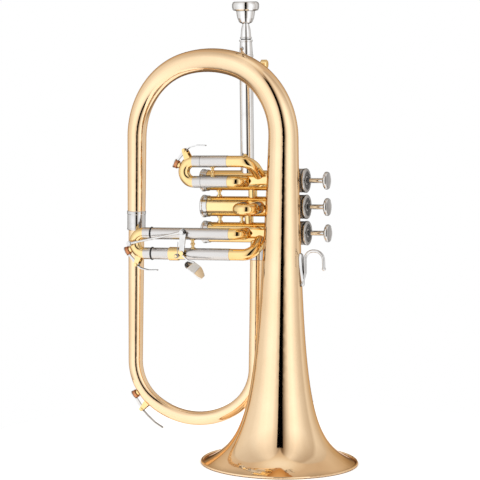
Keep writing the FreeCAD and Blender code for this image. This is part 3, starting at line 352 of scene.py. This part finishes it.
# ---------------------------------------------------------------- fine detail
def lathe(name, outline, start, axis, segments):
    """A closed turned piece. outline(angle) gives its loop of (radius, distance along the axis)."""
    turn = Vector((0.0, 0.0, 1.0)).rotation_difference(axis).to_matrix()
    mesh = bmesh.new()
    loops = []
    for step in range(segments):
        angle = 2.0 * math.pi * step / segments
        across = turn @ Vector((math.cos(angle), math.sin(angle), 0.0))
        loops.append([mesh.verts.new(start + across * radius + axis * distance)
                      for radius, distance in outline(angle)])
    for here, ahead in zip(loops, loops[1:] + loops[:1]):
        for i in range(len(here)):
            j = (i + 1) % len(here)
            mesh.faces.new((here[i], ahead[i], ahead[j], here[j])).smooth = True
    bmesh.ops.recalc_face_normals(mesh, faces=mesh.faces)
    data = bpy.data.meshes.new(name)
    mesh.to_mesh(data)
    mesh.free()
    data.set_sharp_from_angle(angle=SHARP_ANGLE)
    piece = bpy.data.objects.new(name, data)
    bpy.context.scene.collection.objects.link(piece)
    return piece


def join_pieces(pieces):
    """One object from several meshes that all sit at the origin."""
    with bpy.context.temp_override(active_object=pieces[0], selected_editable_objects=pieces):
        bpy.ops.object.join()
    return pieces[0]


def casing_middle(number):
    low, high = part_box("valve_casing_%d" % number)
    return (Vector(low) + Vector(high)) / 2


def casing_axis():
    """From bottom to top along the valves, which are square to the row of casings and to the Y axis."""
    upward = (casing_middle(1) - casing_middle(3)).normalized()
    return Vector((0.0, 1.0, 0.0)).cross(upward)


def diamond_knurl(angle, distance):
    """Depth share of a crossed knurl, 0 on the points and 1 in the grooves."""
    rise = 2.0 * math.pi * distance / KNURL_PITCH
    waves = [abs(math.sin((KNURL_COUNT * angle + side * rise) / 2.0)) for side in (1.0, -1.0)]
    return 1.0 - min(waves)


def top_cap_outline(angle):
    """The cap in section: knurled skirt, rolled rim, felt groove, collar and stem hole."""
    points = [(CAP_BORE, 0.0), (SKIRT_RADIUS - 2.0 * EDGE, 0.0), (SKIRT_RADIUS - EDGE, 0.0004)]
    for row in range(KNURL_ROWS + 1):
        distance = KNURL_START + (KNURL_END - KNURL_START) * row / KNURL_ROWS
        points.append((SKIRT_RADIUS - KNURL_DEPTH * diamond_knurl(angle, distance), distance))
    points += [
        (SKIRT_RADIUS - 0.0004, CAP_LENGTH - 0.0036),
        (CAP_RADIUS - 0.0002, CAP_LENGTH - 0.0032),
    ]
    for step in range(RIM_STEPS + 1):
        bend = math.pi * (step / RIM_STEPS - 0.5)
        inset = RIM_ROUND * (1.0 - math.cos(bend))
        points.append((CAP_RADIUS - inset, RIM_MIDDLE + RIM_HALF * math.sin(bend)))
    points += [
        (CAP_RADIUS - 0.0022, CAP_LENGTH - 0.0001),
        (CAP_GROOVE + 0.0002, CAP_LENGTH - 0.0001),
        (CAP_GROOVE, CAP_LENGTH - 0.0004),
        (CAP_GROOVE, CAP_LENGTH - GROOVE_DEPTH),
        (CAP_COLLAR, CAP_LENGTH - GROOVE_DEPTH),
        (CAP_COLLAR, CAP_LENGTH - COLLAR_DROP - 0.0002),
        (CAP_COLLAR - EDGE, CAP_LENGTH - COLLAR_DROP),
        (CAP_HOLE, CAP_LENGTH - COLLAR_DROP),
        (CAP_HOLE, CAP_LENGTH - CAP_ROOF),
        (CAP_BORE, CAP_LENGTH - CAP_ROOF),
    ]
    return points


def add_top_caps():
    """Knurled caps over the tops of the three valves, one piece in place of the plain ones."""
    axis = casing_axis()
    caps = []
    for number in (1, 2, 3):
        start = casing_middle(number) + axis * (CASING_LENGTH / 2.0 - CAP_DEPTH)
        caps.append(lathe("knurled_top_caps", top_cap_outline, start, axis, KNURL_COUNT * KNURL_SEGMENTS))
    joined = join_pieces(caps)
    joined.data.materials.append(MATERIALS["knurled_nickel"])
    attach(joined, "root")
    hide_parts("top_caps")


# ---------------------------------------------------------------- studio
def camera_direction():
    """From the aim towards the camera."""
    return Vector((
        math.sin(VIEW_AZIMUTH) * math.cos(VIEW_ELEVATION),
        -math.cos(VIEW_AZIMUTH) * math.cos(VIEW_ELEVATION),
        math.sin(VIEW_ELEVATION),
    ))


def add_camera():
    data = bpy.data.cameras.new("camera")
    data.lens = LENS
    data.sensor_width = SENSOR
    camera = bpy.data.objects.new("camera", data)
    bpy.context.scene.collection.objects.link(camera)
    back = camera_direction()
    turn = (-back).to_track_quat("-Z", "Y").to_matrix().to_4x4()
    place = Matrix.Translation(VIEW_AIM + back * VIEW_DISTANCE)
    camera.matrix_world = place @ turn @ Matrix.Rotation(VIEW_ROLL, 4, "Z")
    bpy.context.scene.camera = camera


def tent_stops():
    """The wall's brightness as colour ramp stops, warmer where it is dim."""
    stops = []
    for angle, brightness in TENT_WALL:
        warmth = max(0.0, 1.0 - brightness)
        colour = [brightness * (1.0 - warmth * (1.0 - shade)) for shade in WARM_SHADE]
        stops.append((angle / 360.0 + 0.5, (*colour, 1.0)))
    return stops


def tent_colour(shader):
    """The tent: a wall with a dark gap before the camera, a ceiling with a rear card, and a dark pit."""
    direction = shader.add("ShaderNodeTexCoord").outputs["Generated"]
    up = shader.dot(direction, (0.0, 0.0, 1.0))
    forward = shader.dot(direction, (math.sin(VIEW_AZIMUTH), -math.cos(VIEW_AZIMUTH), 0.0))
    sideways = shader.dot(direction, (math.cos(VIEW_AZIMUTH), math.sin(VIEW_AZIMUTH), 0.0))
    aside = shader.math("ABSOLUTE", sideways)

    turn = shader.math("DIVIDE", shader.math("ARCTAN2", sideways, forward), 2.0 * math.pi)
    wall = shader.ramp(shader.math("ADD", turn, 0.5), tent_stops())
    fade = shader.map_range(up, *FADE_UP, 0.0, WALL_FADE)
    wall = shader.mix_colour(fade, wall, WALL_TOP)

    gap_edge = shader.math("MULTIPLY", shader.math("ADD", forward, 1.0), GAP_SHARE)
    inside = shader.rise(shader.math("SUBTRACT", gap_edge, aside), 0.0, GAP_SOFT)
    gap = shader.product(inside, shader.rise(forward, *GAP_FORWARD), shader.rise(up, *GAP_UP))
    wall = shader.mix_colour(gap, wall, GAP_BLACK)

    card = shader.product(shader.rise(forward, *CARD_FORWARD), shader.rise(aside, *CARD_ASIDE))
    ceiling = shader.mix_colour(card, shader.ramp(up, CEILING), REAR_CARD)
    ceiling_edge = shader.math("MULTIPLY", shader.math("SUBTRACT", CEILING_FRONT, forward), CEILING_SPREAD)
    under = shader.rise(shader.math("SUBTRACT", ceiling_edge, aside), -CEILING_SOFT, CEILING_SOFT)
    overhead = shader.product(under, shader.rise(up, *CEILING_UP))
    tent = shader.mix_colour(overhead, wall, ceiling)

    pit = shader.product(shader.rise(up, *PIT_UP), shader.rise(forward, *PIT_FORWARD))
    return shader.mix_colour(pit, tent, PIT)


def add_world():
    """The tent lights the horn and shows in it; past the floor there is plain white."""
    world = bpy.data.worlds.new("light_tent")
    world.use_nodes = True
    bpy.context.scene.world = world
    shader = Shader(world.node_tree)
    seen = shader.add("ShaderNodeLightPath").outputs["Is Camera Ray"]
    background = shader.add("ShaderNodeBackground")
    colour = shader.mix_colour(seen, tent_colour(shader), BACKGROUND_WHITE)
    shader.join(colour, background.inputs["Color"])
    background.inputs["Strength"].default_value = STUDIO_STRENGTH
    output = shader.add("ShaderNodeOutputWorld")
    shader.join(background.outputs[0], output.inputs["Surface"])


def add_floor():
    """White paper that glows as if lit from below, with a painted contact shadow where its glow fades near
    the bell.
    """
    material, shader, principled = new_material("floor_paper")
    principled.inputs["Base Color"].default_value = FLOOR_WHITE
    principled.inputs["Roughness"].default_value = 0.7
    principled.inputs["Emission Color"].default_value = FLOOR_WHITE
    # Painted contact shadow: the glow fades where the bell stands near.
    glow_with_painted_shadow = shader.map_range(shader.openness(SHADOW_REACH), *SHADOW_SPAN, 0.0, FLOOR_GLOW)
    shader.join(glow_with_painted_shadow, principled.inputs["Emission Strength"])
    bpy.ops.mesh.primitive_circle_add(vertices=96, radius=FLOOR_RADIUS, fill_type="NGON")
    floor = bpy.context.object
    floor.name = "floor"
    floor.data.materials.append(material)


finish_nodes()
add_top_caps()
add_world()
add_floor()
add_camera()
bpy.context.scene.view_settings.view_transform = "Standard"
